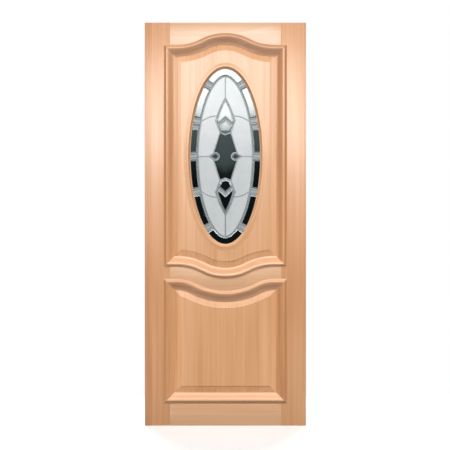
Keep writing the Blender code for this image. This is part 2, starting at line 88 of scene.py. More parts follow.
# The oval light and its leaded glass
OVAL_HALF_WIDTH = 0.177
OVAL_HALF_HEIGHT = 0.443
OVAL_Z = 0.342
CAME_WIDTH = 0.006
CAME_THICKNESS = 0.007
CAME_LIP = 0.0024
LIGHT_PLAY = 0.003
GLASS_TUCK = 0.001
FIELD_GLASS_THICKNESS = 0.004
BEVEL_GLASS_THICKNESS = 0.005
BEVEL_GLASS_EDGE = 0.002
BORDER_WIDTH = 0.040
BORDER_SQUARE_LENGTH = 0.026
BORDER_BEVEL = 0.008
SQUARE_BEVEL = 0.005
CLUSTER_BEVEL = 0.009
JEWEL_BEVEL = 0.006
SOLDER_RADIUS = 0.0046
SOLDER_STAND = 0.0005
SOLDER_SIZES = (0.9, 1.15)
SOLDER_LUMPS = (0.94, 1.06)
SOLDER_SEED = 5
MITRE_LIMIT = 0.5

# The cartoon of the middle cluster, from the centre of the oval. The wing leaves the side of
# the drop a fifth of the way up.
DIAMOND_POINT = (0.0, 0.110)
WAIST = (0.028, 0.121)
KITE_CORNER = (0.040, 0.154)
KITE_POINT = (0.0, 0.191)
DROP_CORNER = (0.049, 0.180)
DROP_TIP = (0.0, 0.298)
DROP_BOW = 0.0045
WING_STEPS = 5
JEWEL_CENTRE = (0.050, 0.0)
JEWEL_TIP = (0.0835, 0.0)
JEWEL_RADIUS = 0.019
SQUARE_ANGLES = (0.0, math.radians(24.3), math.radians(56.5))

# How finely the curves are drawn
EASED_FACETS = 12
CREST_FACETS = 36
REVERSE_FACETS = 16
OVAL_FACETS = 192
ROLL_FACETS = 8
DROP_FACETS = 16
WING_FACETS = 16
JEWEL_FACETS = 32
DOME_FACETS = 4
SHORTEST_FACET = 0.001

# Lines that turn less than this against each other are parallel, and points closer than this
# are one. The rest are degrees: faces that meet more sharply than a smooth angle show an edge.
PARALLEL_TURN = 1e-7
WELD_DISTANCE = 0.00001
FLAT_ANGLE = 1
ARRIS_ANGLE = 40
SMOOTH_ANGLE = 30
PANEL_SMOOTH_ANGLE = 10
GLASS_SMOOTH_ANGLE = 5
CAME_SMOOTH_ANGLE = 50

HALF_THICKNESS = LEAF_THICKNESS / 2
HALF_HEIGHT = LEAF_HEIGHT / 2
MIDDLE_X = LEAF_WIDTH / 2
LOWER_FOOT = BOTTOM_RAIL_DEPTH - HALF_HEIGHT
LOWER_HEAD = LOWER_FOOT + LOWER_OPENING_HEIGHT
UPPER_FOOT = LOWER_HEAD + MIDDLE_RAIL_DEPTH
UPPER_HEAD = HALF_HEIGHT - TOP_RAIL_DEPTH
TONGUE_HALF = GROOVE_WIDTH / 2 - JOINT_GAP
PANEL_EDGE_INSET = PANEL_PLAY - GROOVE_DEPTH
BEVEL_FOOT_INSET = MOULDING_WIDTH - MOULDING_LAP + JOINT_GAP
FIELD_INSET = BEVEL_FOOT_INSET + PANEL_BEVEL_WIDTH
WAVE_HALF_SPAN = MIDDLE_X - STILE_WIDTH - WAVE_SHOULDER
WAVE_TURN = 2 * math.atan(WAVE_RISE / WAVE_HALF_SPAN)
WAVE_RADII = WAVE_HALF_SPAN / math.sin(WAVE_TURN)
UPPER_CREST_RADIUS = WAVE_RADII / 2 - MOULDING_LAP
LOWER_CREST_RADIUS = UPPER_CREST_RADIUS + MIDDLE_RAIL_DEPTH
OUTER_CAME = BEAD_REBATE - LIGHT_PLAY - CAME_WIDTH / 2

# The photograph: square on, the leaf a little above and right of the middle of the frame
PICTURE_SPAN = 2.269
CAMERA_DISTANCE = 7.0
CAMERA_X = MIDDLE_X - 0.0018
CAMERA_Z = -0.0045
SENSOR_WIDTH = 36.0

# The studio. The sun-like lights rise 52 degrees. What shows through the glass is graded by the
# rise of the line of sight, a little less to the sides, from a dark room to a bright sky.
KEY_RISE = 52
KEY_DISTANCE = 6.0
VIEW_FOOT = -0.2
VIEW_HEAD = 0.3
SIDE_HOLD = -0.5
SIDE_REACH = 0.025
VIEW_STEPS = ((-0.1, "#8a9092"), (-0.05, "#767c7e"), (-0.03, "#101314"), (0.02, "#0c0f10"),
              (0.036, "#171b1c"), (0.043, "#434a4b"), (0.066, "#505657"), (0.073, "#c6cbcc"),
              (0.09, "#ffffff"), (0.114, "#ffffff"), (0.126, "#6f7678"))


# Finishes

def linear(hex_colour):
    """An sRGB hex colour as linear red, green, blue and alpha."""
    channels = [int(hex_colour[start:start + 2], 16) / 255 for start in (1, 3, 5)]
    return (*[channel / 12.92 if channel <= 0.04045 else ((channel + 0.055) / 1.055) ** 2.4
              for channel in channels], 1.0)


def add_node(tree, kind, settings=None, links=None):
    """Adds a node, sets its options and unlinked sockets, and links its other sockets."""
    node = tree.nodes.new(kind)
    for name, value in (settings or {}).items():
        if isinstance(name, str) and hasattr(node, name):
            setattr(node, name, value)
        else:
            node.inputs[name].default_value = value
    for name, source in (links or {}).items():
        tree.links.new(source, node.inputs[name])
    return node


def new_finish(name, settings):
    """A material with one Principled shader, and that shader."""
    finish = bpy.data.materials.new(name)
    finish.use_nodes = True
    shader = finish.node_tree.nodes["Principled BSDF"]
    for socket, value in settings.items():
        shader.inputs[socket].default_value = value
    return finish, finish.node_tree, shader


def lacquered_hemlock(name, grain, stave_width, tones):
    """Straight-grained hemlock under a satin lacquer: pinkish tan with long soft streaks, fine
    darker growth lines, a tint that changes from stave to stave, and a broad pale sheen.

    Grain is Z or X for a board cut along that axis, or UV where it bends round the oval. Tones
    run from the palest to the darkest of its four colours.
    """
    finish, tree, shader = new_finish(name, {
        "Roughness": 0.42, "IOR": 1.5, "Coat Weight": 0.5, "Coat Roughness": 0.3})
    place = add_node(tree, "ShaderNodeTexCoord")
    axes = add_node(tree, "ShaderNodeSeparateXYZ", None,
                    {"Vector": place.outputs["UV" if grain == "UV" else "Object"]})
    along = axes.outputs["Z" if grain == "Z" else "X"]
    across = axes.outputs[{"Z": "X", "X": "Z", "UV": "Y"}[grain]]
    depth = axes.outputs["Z" if grain == "UV" else "Y"]

    # Staves of uneven width, each with its own tint and its own stretch of the tree
    uneven = add_node(tree, "ShaderNodeTexNoise",
                      {"noise_dimensions": "1D", "Scale": 9.0, "Detail": 0.0}, {"W": across})
    widened = add_node(tree, "ShaderNodeMath", {"operation": "MULTIPLY_ADD", 1: 1.2},
                       {0: uneven.outputs[0],
                        2: add_node(tree, "ShaderNodeMath",
                                    {"operation": "DIVIDE", 1: stave_width},
                                    {0: across}).outputs[0]})
    stave = add_node(tree, "ShaderNodeMath", {"operation": "FLOOR"}, {0: widened.outputs[0]})
    tint = add_node(tree, "ShaderNodeTexWhiteNoise", {"noise_dimensions": "1D"},
                    {"W": stave.outputs[0]})
    shifted = add_node(tree, "ShaderNodeMath", {"operation": "MULTIPLY_ADD", 1: 7.0},
                       {0: tint.outputs["Value"], 2: along})

    # The grain wanders a few millimetres sideways over each half metre
    course = add_node(tree, "ShaderNodeCombineXYZ", None,
                      {"X": shifted.outputs[0], "Y": across, "Z": depth})
    wander = add_node(tree, "ShaderNodeTexNoise", {"Scale": 2.2, "Detail": 1.0},
                      {"Vector": course.outputs[0]})
    bent = add_node(tree, "ShaderNodeMath", {"operation": "MULTIPLY_ADD", 1: 0.02},
                    {0: wander.outputs[0], 2: across})

    layers = {}
    # Features per metre along and across: streaks 12 mm wide, growth lines 4 mm apart, which
    # is twice as coarse as real ones so that they show, and fibres of half a millimetre.
    for layer, per_metre_along, per_metre_across, detail in (
            ("cloud", 1.6, 9.0, 1.0), ("streak", 1.1, 85.0, 3.0),
            ("ring", 2.4, 250.0, 2.0), ("fibre", 45.0, 1900.0, 1.0)):
        stretched = add_node(tree, "ShaderNodeVectorMath",
                             {"operation": "MULTIPLY",
                              1: (per_metre_along, per_metre_across, per_metre_across)},
                             {0: add_node(tree, "ShaderNodeCombineXYZ", None,
                                          {"X": shifted.outputs[0], "Y": bent.outputs[0],
                                           "Z": depth}).outputs[0]})
        layers[layer] = add_node(tree, "ShaderNodeTexNoise", {"Scale": 1.0, "Detail": detail},
                                 {"Vector": stretched.outputs[0]}).outputs[0]

    # How much the stave and each layer darken the tone
    tone = add_node(tree, "ShaderNodeMath", {"operation": "MULTIPLY", 1: 0.42},
                    {0: tint.outputs["Value"]}).outputs[0]
    for layer, share in (("cloud", 0.9), ("streak", 1.0), ("ring", 0.5), ("fibre", 0.18)):
        tone = add_node(tree, "ShaderNodeMath", {"operation": "MULTIPLY_ADD", 1: share},
                        {0: layers[layer], 2: tone}).outputs[0]
    spread = add_node(tree, "ShaderNodeMapRange",
                      {"From Min": 0.95, "From Max": 2.05, "To Min": 0.0, "To Max": 1.0},
                      {"Value": tone})
    ramp = add_node(tree, "ShaderNodeValToRGB", None, {"Fac": spread.outputs[0]})
    stops = ramp.color_ramp.elements
    stops[0].position, stops[0].color = 0.0, linear(tones[0])
    stops[1].position, stops[1].color = 1.0, linear(tones[3])
    stops.new(0.35).color = linear(tones[1])
    stops.new(0.65).color = linear(tones[2])
    tree.links.new(ramp.outputs["Color"], shader.inputs["Base Color"])

    sheen = add_node(tree, "ShaderNodeMapRange",
                     {"From Min": 0.3, "From Max": 0.7, "To Min": 0.38, "To Max": 0.48},
                     {"Value": layers["streak"]})
    tree.links.new(sheen.outputs[0], shader.inputs["Roughness"])
    relief = add_node(tree, "ShaderNodeMath", {"operation": "MULTIPLY_ADD", 1: 0.4},
                      {0: layers["fibre"], 2: layers["ring"]})
    bump = add_node(tree, "ShaderNodeBump", {"Strength": 0.25, "Distance": 0.0004},
                    {"Height": relief.outputs[0]})
    tree.links.new(bump.outputs["Normal"], shader.inputs["Normal"])
    return finish


def rippled_glass():
    """Rolled obscure glass: milky, softly shining, with a close irregular ripple that scatters
    what lies behind it. The real ripple is about 3 mm; it is drawn at 6 mm to show."""
    finish, tree, shader = new_finish("rippled_glass", {
        "Roughness": 0.24, "IOR": 1.5, "Transmission Weight": 0.4})
    place = add_node(tree, "ShaderNodeTexCoord")
    ripple = add_node(tree, "ShaderNodeTexNoise", {"Scale": 165.0, "Detail": 2.0},
                      {"Vector": place.outputs["Object"]})
    swell = add_node(tree, "ShaderNodeTexNoise", {"Scale": 22.0, "Detail": 1.0},
                     {"Vector": place.outputs["Object"]})
    clouded = add_node(tree, "ShaderNodeMix", {"data_type": "RGBA", 6: linear("#e2e7e8"),
                                               7: linear("#f5f7f7")},
                       {0: swell.outputs[0]})
    tree.links.new(clouded.outputs[2], shader.inputs["Base Color"])
    bump = add_node(tree, "ShaderNodeBump", {"Strength": 0.5, "Distance": 0.0008},
                    {"Height": ripple.outputs[0]})
    tree.links.new(bump.outputs["Normal"], shader.inputs["Normal"])
    return finish


def bevelled_plate_glass():
    """Clear polished plate: see-through, with sharp mirror glints on its cut bevels and the
    very slight waviness that hand polishing leaves."""
    finish, tree, shader = new_finish("bevelled_plate_glass", {
        "Base Color": linear("#f1f7f4"), "Roughness": 0.02, "IOR": 1.52,
        "Transmission Weight": 1.0})
    place = add_node(tree, "ShaderNodeTexCoord")
    wave = add_node(tree, "ShaderNodeTexNoise", {"Scale": 28.0, "Detail": 0.0},
                    {"Vector": place.outputs["Object"]})
    bump = add_node(tree, "ShaderNodeBump", {"Strength": 0.04, "Distance": 0.001},
                    {"Height": wave.outputs[0]})
    tree.links.new(bump.outputs["Normal"], shader.inputs["Normal"])
    return finish


def ground_plate_glass():
    """The small squares of the border: plate with a finely ground face, pale grey and dull."""
    finish, tree, shader = new_finish("ground_plate_glass", {
        "Roughness": 0.35, "IOR": 1.52, "Transmission Weight": 0.45})
    place = add_node(tree, "ShaderNodeTexCoord")
    grit = add_node(tree, "ShaderNodeTexNoise", {"Scale": 320.0, "Detail": 3.0},
                    {"Vector": place.outputs["Object"]})
    colour = add_node(tree, "ShaderNodeMix", {"data_type": "RGBA", 6: linear("#a6adac"),
                                              7: linear("#cdd3d2")},
                      {0: grit.outputs[0]})
    tree.links.new(colour.outputs[2], shader.inputs["Base Color"])
    bump = add_node(tree, "ShaderNodeBump", {"Strength": 0.3, "Distance": 0.0004},
                    {"Height": grit.outputs[0]})
    tree.links.new(bump.outputs["Normal"], shader.inputs["Normal"])
    return finish


def patinated_lead():
    """Lead came gone dull: dark blue grey with paler rubbed patches and a soft metal shine."""
    finish, tree, shader = new_finish("patinated_lead", {"Metallic": 1.0})
    place = add_node(tree, "ShaderNodeTexCoord")
    patches = add_node(tree, "ShaderNodeTexNoise", {"Scale": 120.0, "Detail": 4.0},
                       {"Vector": place.outputs["Object"]})
    colour = add_node(tree, "ShaderNodeMix", {"data_type": "RGBA", 6: linear("#5d6266"),
                                              7: linear("#9ba1a4")},
                      {0: patches.outputs[0]})
    tree.links.new(colour.outputs[2], shader.inputs["Base Color"])
    dulled = add_node(tree, "ShaderNodeMapRange", {"To Min": 0.38, "To Max": 0.62},
                      {"Value": patches.outputs[0]})
    tree.links.new(dulled.outputs[0], shader.inputs["Roughness"])
    bump = add_node(tree, "ShaderNodeBump", {"Strength": 0.3, "Distance": 0.0003},
                    {"Height": patches.outputs[0]})
    tree.links.new(bump.outputs["Normal"], shader.inputs["Normal"])
    return finish


# Outlines in the plane of the leaf

class Edge:
    """One horizontal edge of an opening: straight, or with a wave that swings up or down."""

    def __init__(self, level, inward, swing=0, crest_radius=0.0):
        self.level = level
        self.inward = inward
        self.swing = swing
        self.crest_radius = crest_radius

    def points(self, inset, left, right):
        """The edge moved inward by inset, from left to right, as (x, z) pairs."""
        shift = self.inward * inset
        if self.swing == 0:
            return [(left, self.level + shift), (right, self.level + shift)]
        crest = self.crest_radius + self.swing * shift
        reverse = WAVE_RADII - crest
        crest_middle = self.level + self.swing * (WAVE_RISE - self.crest_radius)
        reverse_middle = self.level + self.swing * (WAVE_RADII - self.crest_radius)
        tangent = MIDDLE_X - WAVE_HALF_SPAN

        def on_reverse(x):
            turn = math.asin(min(max(x - tangent, 0.0) / reverse, 1.0))
            return turn, reverse_middle - self.swing * reverse * math.cos(turn)

        first_turn = on_reverse(left + SHORTEST_FACET)[0]
        half = [(left, on_reverse(left)[1])]
        for step in range(REVERSE_FACETS):
            turn = first_turn + (WAVE_TURN - first_turn) * step / REVERSE_FACETS
            half.append((tangent + reverse * math.sin(turn),
                         reverse_middle - self.swing * reverse * math.cos(turn)))
        for step in range(CREST_FACETS // 2):
            turn = WAVE_TURN * (1 - 2 * step / CREST_FACETS)
            half.append((MIDDLE_X - crest * math.sin(turn),
                         crest_middle + self.swing * crest * math.cos(turn)))
        top = (MIDDLE_X, crest_middle + self.swing * crest)
        return half + [top] + [(left + right - x, z) for x, z in reversed(half)]


class Opening:
    """An opening of the frame between the stiles."""

    def __init__(self, foot, head):
        self.foot = foot
        self.head = head

    def sides(self, inset):
        return STILE_WIDTH + inset, LEAF_WIDTH - STILE_WIDTH - inset

    def outline(self, inset):
        left, right = self.sides(inset)
        return self.foot.points(inset, left, right) + self.head.points(inset, left, right)[::-1]


UPPER = Opening(Edge(UPPER_FOOT, 1, -1, UPPER_CREST_RADIUS),
                Edge(UPPER_HEAD, -1, 1, UPPER_CREST_RADIUS))
LOWER = Opening(Edge(LOWER_FOOT, 1),
                Edge(LOWER_HEAD, -1, -1, LOWER_CREST_RADIUS))


def oval_point(angle, outside):
    """A point of the curve parallel to the sight line, as (across, up) from its centre."""
    across = OVAL_HALF_WIDTH * math.cos(angle)
    up = OVAL_HALF_HEIGHT * math.sin(angle)
    normal = Vector((math.cos(angle) / OVAL_HALF_WIDTH, math.sin(angle) / OVAL_HALF_HEIGHT))
    normal.normalize()
    return across + outside * normal.x, up + outside * normal.y


def oval_stretch(start, end, outside):
    """Points along the parallel curve from one angle to another."""
    facets = max(1, round(abs(end - start) * OVAL_FACETS / math.tau))
    return [oval_point(start + (end - start) * step / facets, outside)
            for step in range(facets + 1)]


def on_leaf(points):
    """Points given from the centre of the oval, as (x, z) on the leaf."""
    return [(MIDDLE_X + across, OVAL_Z + up) for across, up in points]


def oval_ring(outside):
    return on_leaf(oval_stretch(0.0, math.tau, outside)[:-1])


def crossing(first, second):
    """Where two lines cross, each a point and a direction."""
    (here, run), (there, way) = first, second
    turn = run.cross(way)
    if abs(turn) < PARALLEL_TURN:
        return there
    return here + run * (there - here).cross(way) / turn


def inset_outline(outline, distance):
    """A counter-clockwise outline with every side moved inward by one distance.

    A side too short to be there after the move closes up, with both its ends at one point.
    """
    sides = []
    for index, point in enumerate(outline):
        start, end = Vector(point), Vector(outline[(index + 1) % len(outline)])
        run = (end - start).normalized()
        sides.append((start + Vector((-run.y, run.x)) * distance, run))
    kept = list(range(len(sides)))
    while True:
        starts = [crossing(sides[kept[place - 1]], sides[side])
                  for place, side in enumerate(kept)]
        lengths = [(starts[(place + 1) % len(kept)] - starts[place]).dot(sides[side][1])
                   for place, side in enumerate(kept)]
        if min(lengths) > 0:
            break
        kept.pop(lengths.index(min(lengths)))
    moved = []
    for index in range(len(sides)):
        place = next((place for place, side in enumerate(kept) if side >= index), 0)
        moved.append(tuple(starts[place]))
    return moved


def bowed_line(start, end, bow, facets):
    """A line from start to end that swells to its right by bow at its middle."""
    start, end = Vector(start), Vector(end)
    right = Vector((end.y - start.y, start.x - end.x)).normalized()
    return [tuple(start.lerp(end, step / facets)
                  + right * 4 * bow * (step / facets) * (1 - step / facets))
            for step in range(facets + 1)]


def wing_line(start, end):
    """The lead line that leaves a drop level and bends down to the border."""
    run, fall = end[0] - start[0], start[1] - end[1]
    radius = (run * run + fall * fall) / (2 * fall)
    last = math.asin(run / radius)
    return [(start[0] + radius * math.sin(last * step / WING_FACETS),
             start[1] - radius + radius * math.cos(last * step / WING_FACETS))
            for step in range(WING_FACETS + 1)]


def flipped(outline, across, up):
    """An outline mirrored by signs across and up, kept counter-clockwise."""
    turned = [(x * across, z * up) for x, z in outline]
    return turned if across * up > 0 else turned[::-1]


# Making meshes

def add_piece(name, mesh, finish):
    piece = bpy.data.objects.new(name, mesh)
    mesh.materials.append(finish)
    bpy.context.scene.collection.objects.link(piece)
    return piece


def finish_mesh(name, solid, smooth_angle, outward=False):
    """The bmesh as a mesh, smooth except where its faces meet more sharply than the angle. Its
    faces are turned outward, unless they are so already."""
    if not outward:
        bmesh.ops.recalc_face_normals(solid, faces=solid.faces)
    mesh = bpy.data.meshes.new(name)
    solid.to_mesh(mesh)
    solid.free()
    mesh.shade_smooth()
    mesh.set_sharp_from_angle(angle=math.radians(smooth_angle))
    return mesh


def add_rings(solid, rings, closed=False):
    """Faces through rings of (x, y, z) points, capped at both ends or closed on itself."""
    rows = [[solid.verts.new(point) for point in ring] for ring in rings]
    followers = rows[1:] + rows[:1] if closed else rows[1:]
    for row, follower in zip(rows, followers):
        for index, vertex in enumerate(row):
            after = (index + 1) % len(row)
            solid.faces.new((vertex, row[after], follower[after], follower[index]))
    if not closed:
        solid.faces.new(rows[0])
        solid.faces.new(rows[-1])


def add_loft(name, rings, finish, smooth_angle=SMOOTH_ANGLE):
    solid = bmesh.new()
    add_rings(solid, rings)
    bmesh.ops.remove_doubles(solid, verts=solid.verts, dist=WELD_DISTANCE)
    return add_piece(name, finish_mesh(name, solid, smooth_angle), finish)


def stand_for(piece, node):
    """The piece takes the place of one CAD node and rides with the leaf."""
    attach(piece, "root")
    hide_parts(node)


# The wooden pieces

def ease_frame_member(node, wood):
    """A stile or rail with its arrises taken off, as sandpaper leaves them."""
    solid = bmesh.new()
    solid.from_mesh(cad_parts[node].data)
    bmesh.ops.remove_doubles(solid, verts=solid.verts, dist=WELD_DISTANCE)
    bmesh.ops.dissolve_limit(solid, angle_limit=math.radians(FLAT_ANGLE), verts=solid.verts,
                             edges=solid.edges)
    arrises = [edge for edge in solid.edges if len(edge.link_faces) == 2
               and edge.calc_face_angle(0.0) > math.radians(ARRIS_ANGLE)]
    bmesh.ops.bevel(solid, geom=arrises, offset=ARRIS, offset_type="OFFSET", segments=2,
                    profile=0.5, affect="EDGES", clamp_overlap=True)
    name = "eased_" + node
    stand_for(add_piece(name, finish_mesh(name, solid, SMOOTH_ANGLE), wood), node)


def eased_slope(start, end, facets, ease=1.0):
    """A slope from one (across, height) to another, from straight at ease 0 to level at both
    its ends at ease 1."""
    slope = []
    for step in range(facets + 1):
        share = step / facets
        climb = share + ease * ((1 - math.cos(math.pi * share)) / 2 - share)
        slope.append((start[0] + (end[0] - start[0]) * share,
                      start[1] + (end[1] - start[1]) * climb))
    return slope


def add_mouldings(place, opening, wood_upright, wood_level):
    """Four planted mouldings around an opening, mitred at its corners."""
    seat = TONGUE_HALF + JOINT_GAP
    crest = (MOULDING_CREST - MOULDING_LAP, HALF_THICKNESS + MOULDING_STAND)
    section = eased_slope((-MOULDING_LAP, HALF_THICKNESS + MOULDING_EDGE), crest, ROLL_FACETS)
    section += eased_slope(crest, (MOULDING_WIDTH - MOULDING_LAP, seat + MOULDING_INNER_EDGE),
                           EASED_FACETS, MOULDING_EASE)[1:]
    section += [(MOULDING_WIDTH - MOULDING_LAP, seat), (JOINT_GAP, seat),
                (JOINT_GAP, HALF_THICKNESS + JOINT_GAP),
                (-MOULDING_LAP, HALF_THICKNESS + JOINT_GAP)]
    for end, edge in (("top", opening.head), ("bottom", opening.foot)):
        lines = []
        for inset, height in section:
            left, right = opening.sides(inset)
            lines.append([(x, -height, z) for x, z in
                          edge.points(inset, left + JOINT_GAP, right - JOINT_GAP)])
        node = f"{place}_moulding_{end}"
        stand_for(add_loft("run_" + node, list(zip(*lines)), wood_level), node)
    for end, side in (("left", 0), ("right", 1)):
        rings = [[(opening.sides(inset)[side], -height, edge.level + edge.inward * inset)
                  for inset, height in section] for edge in (opening.foot, opening.head)]
        node = f"{place}_moulding_{end}"
        stand_for(add_loft("run_" + node, rings, wood_upright), node)


def add_panel(node, opening, wood, aperture=None):
    """A raised panel, alike on both faces, with the edge of its raised field eased."""
    field = PANEL_THICKNESS / 2
    steps = [(FIELD_INSET + PANEL_EASING, field),
             (FIELD_INSET + PANEL_EASING * EASING_BEND, field - PANEL_EASING * EASING_BEND),
             (FIELD_INSET, field - PANEL_EASING),
             (FIELD_INSET, field - PANEL_SHOULDER),
             (BEVEL_FOOT_INSET, TONGUE_HALF), (PANEL_EDGE_INSET, TONGUE_HALF)]
    both = [(inset, -height) for inset, height in steps]
    both += [(inset, height) for inset, height in reversed(steps)]
    rings = [[(x, y, z) for x, z in opening.outline(inset)] for inset, y in both]
    name = "raised_" + node
    panel = add_loft(name, rings, wood, PANEL_SMOOTH_ANGLE)
    if aperture:
        plug = add_loft("aperture_plug", [[(x, y, z) for x, z in aperture]
                                          for y in (-PANEL_THICKNESS, PANEL_THICKNESS)], wood)
        pierce = panel.modifiers.new("aperture", "BOOLEAN")
        pierce.operation = "DIFFERENCE"
        pierce.solver = "EXACT"
        pierce.object = plug
        pierced = bpy.data.meshes.new_from_object(
            panel.evaluated_get(bpy.context.evaluated_depsgraph_get()))
        panel.modifiers.clear()
        pierced.set_sharp_from_angle(angle=math.radians(PANEL_SMOOTH_ANGLE))
        panel.data = pierced
        bpy.data.objects.remove(plug)
    stand_for(panel, node)


def add_bead(node, side, section, wood):
    """An oval bead round the light, with the grain bent along it in its UV map."""
    solid = bmesh.new()
    loops = [oval_ring(outside) for outside, _ in section]
    rings = [[(loop[index][0], side * height, loop[index][1])
              for loop, (_, height) in zip(loops, section)] for index in range(len(loops[0]))]
    add_rings(solid, rings, closed=True)
    run = [0.0]
    for index in range(len(rings)):
        here, after = Vector(rings[index][0]), Vector(rings[(index + 1) % len(rings)][0])
        run.append(run[-1] + (after - here).length)
    girth = [0.0]
    for index in range(len(section)):
        girth.append(girth[-1] + math.dist(section[index], section[(index + 1) % len(section)]))
    grain = solid.loops.layers.uv.new("grain")
    for number, face in enumerate(solid.faces):
        ring, step = divmod(number, len(section))
        corners = ((ring, step), (ring, step + 1), (ring + 1, step + 1), (ring + 1, step))
        for loop, (along, round_section) in zip(face.loops, corners):
            loop[grain].uv = (run[along], girth[round_section])
    name = "turned_" + node
    stand_for(add_piece(name, finish_mesh(name, solid, SMOOTH_ANGLE), wood), node)


def add_beads(wood):
    """The two rings that hold the light: a moulded one in front and a plainer one behind."""
    panel_face = PANEL_THICKNESS / 2
    lip = CAME_THICKNESS / 2 + JOINT_GAP
    rebate = BEAD_REBATE - JOINT_GAP
    crest = (BEAD_WIDTH - BEAD_CREST, panel_face + BEAD_STAND)
    section = eased_slope((BEAD_WIDTH, panel_face + BEAD_EDGE), crest, EASED_FACETS)
    section += eased_slope(crest, (0.0, lip + BEAD_SIGHT_STEP), EASED_FACETS)[1:]
    section += [(0.0, lip), (rebate, lip), (rebate, panel_face + JOINT_GAP),
                (BEAD_WIDTH, panel_face + JOINT_GAP)]
    add_bead("oval_bead_front", -1, section, wood)

    stand = panel_face + BACK_BEAD_STAND
    section = [(0.0, lip), (0.0, lip + BEAD_SIGHT_STEP)]
    for step in range(1, EASED_FACETS):
        share = step / EASED_FACETS
        section.append((rebate * share, lip + BEAD_SIGHT_STEP
                        + (stand - lip - BEAD_SIGHT_STEP) * math.sin(share * math.pi / 2)))
    section.append((rebate, stand))
    for step in range(ROLL_FACETS + 1):
        turn = math.pi / 2 * step / ROLL_FACETS
        section.append((BACK_BEAD_WIDTH - BACK_BEAD_STAND * (1 - math.sin(turn)),
                        panel_face + JOINT_GAP
                        + (BACK_BEAD_STAND - JOINT_GAP) * math.cos(turn)))
    section.append((rebate, panel_face + JOINT_GAP))
    add_bead("oval_bead_back", 1, section, wood)


# The leaded light

def square_spans():
    """The angles around the oval at which each small square of the border starts and ends."""
    angles = sorted({round(turn, 9) for angle in SQUARE_ANGLES
                     for turn in (angle, math.pi - angle, math.pi + angle,
                                  (math.tau - angle) % math.tau)})
    spans = []
    for angle in angles:
        speed = math.hypot(OVAL_HALF_WIDTH * math.sin(angle), OVAL_HALF_HEIGHT * math.cos(angle))
        half = BORDER_SQUARE_LENGTH / 2 / speed
        spans.append((angle - half, angle + half))
    return spans


def cartoon():
    """The lead lines of one quarter of the cluster: drop side, wing and jewel."""
    side = bowed_line(DROP_CORNER, DROP_TIP, DROP_BOW, DROP_FACETS)
    shoulder = oval_point(SQUARE_ANGLES[1], -BORDER_WIDTH)
    wing = wing_line(bowed_line(DROP_CORNER, DROP_TIP, DROP_BOW, WING_STEPS)[1], shoulder)
    touch = math.acos(JEWEL_RADIUS / (JEWEL_TIP[0] - JEWEL_CENTRE[0]))
    jewel = [(JEWEL_CENTRE[0] + JEWEL_RADIUS * math.cos(turn), JEWEL_RADIUS * math.sin(turn))
             for turn in (touch + (math.tau - 2 * touch) * step / JEWEL_FACETS
                          for step in range(JEWEL_FACETS + 1))]
    return side, wing, jewel


def glass_layout():
    """The centre lines of the cames around each piece of glass: {node: (outline, kind)}."""
    layout = {}
    spans = square_spans()
    for number, (start, end) in enumerate(spans, 1):
        following = spans[number % len(spans)][0]
        if following < end:
            following += math.tau
        square = (oval_stretch(start, end, OUTER_CAME)
                  + oval_stretch(start, end, -BORDER_WIDTH)[::-1])
        strip = (oval_stretch(end, following, OUTER_CAME)
                 + oval_stretch(end, following, -BORDER_WIDTH)[::-1])
        layout[f"border_square_{number:02d}"] = (square, "square")
        layout[f"border_glass_{number:02d}"] = (strip, "border")

    side, wing, jewel = cartoon()
    tip_side = [point for point in side if point[1] > wing[0][1]]
    corner_side = [point for point in side if point[1] < wing[0][1]]
    tip_field = (oval_stretch(SQUARE_ANGLES[1], math.pi / 2, -BORDER_WIDTH)
                 + tip_side[::-1] + wing[:-1])
    middle_field = (oval_stretch(0.0, SQUARE_ANGLES[1], -BORDER_WIDTH) + wing[-2::-1]
                    + corner_side[::-1] + [KITE_CORNER, WAIST, jewel[0], JEWEL_TIP])
    for up, rise in ((1, "upper"), (-1, "lower")):
        for across, hand in ((-1, "left"), (1, "right")):
            layout[f"{rise}_tip_field_{hand}"] = (flipped(tip_field, across, up), "field")
            layout[f"{rise}_middle_field_{hand}"] = (flipped(middle_field, across, up), "field")

    half_drop = [KITE_CORNER] + side
    drop = [KITE_POINT] + half_drop + flipped(half_drop[:-1], -1, 1)
    kite = [DIAMOND_POINT, WAIST, KITE_CORNER, KITE_POINT,
            (-KITE_CORNER[0], KITE_CORNER[1]), (-WAIST[0], WAIST[1])]
    right_half = [(WAIST[0], -WAIST[1])] + jewel[::-1] + [WAIST, DIAMOND_POINT]
    diamond = right_half + [(-x, -z) for x, z in right_half]
    for up, rise in ((1, "upper"), (-1, "lower")):
        layout[f"{rise}_drop"] = (flipped(drop, 1, up), "cluster")
        layout[f"{rise}_kite"] = (flipped(kite, 1, up), "cluster")
    layout["centre_diamond"] = (diamond, "plain")
    layout["left_jewel"] = (flipped([JEWEL_TIP] + jewel, -1, 1), "jewel")
    layout["right_jewel"] = ([JEWEL_TIP] + jewel, "jewel")
    return layout


